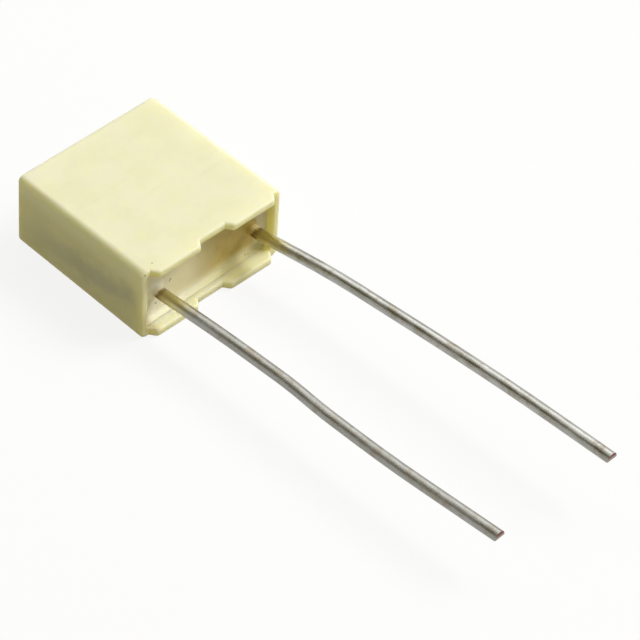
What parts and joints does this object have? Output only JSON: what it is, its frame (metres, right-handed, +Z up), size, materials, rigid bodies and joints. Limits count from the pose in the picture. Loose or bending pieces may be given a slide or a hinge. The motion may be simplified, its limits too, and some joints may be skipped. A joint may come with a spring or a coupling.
{
  "type": "box film capacitor",
  "caption": "Small moulded box film capacitor lying on a broad face: a cream plastic case, open at one end and potted round a flattened film winding, with long tinned wire leads.",
  "frame": {"origin": "middle of the broad underside that the part lies on, halfway between the tips of the feet and the closed end, and midway between the leads", "axes": "+Z up through the thickness of the case, +X from the left lead to the right lead, +Y towards the closed end, so the leads leave along -Y"},
  "size_m": [0.0074, 0.0248, 0.0035],
  "materials": {
    "case_plastic": "satin",
    "resin": "satin",
    "metallised_film": "satin",
    "sprayed_metal": "matte",
    "tinned_wire": "satin"
  },
  "bodies": {
    "root": {"case": "case_plastic", "potting_resin": "resin", "film_winding": "metallised_film", "end_spray_left": "sprayed_metal", "end_spray_right": "sprayed_metal", "lead_left": "tinned_wire", "lead_right": "tinned_wire"}
  },
  "joints": []
}
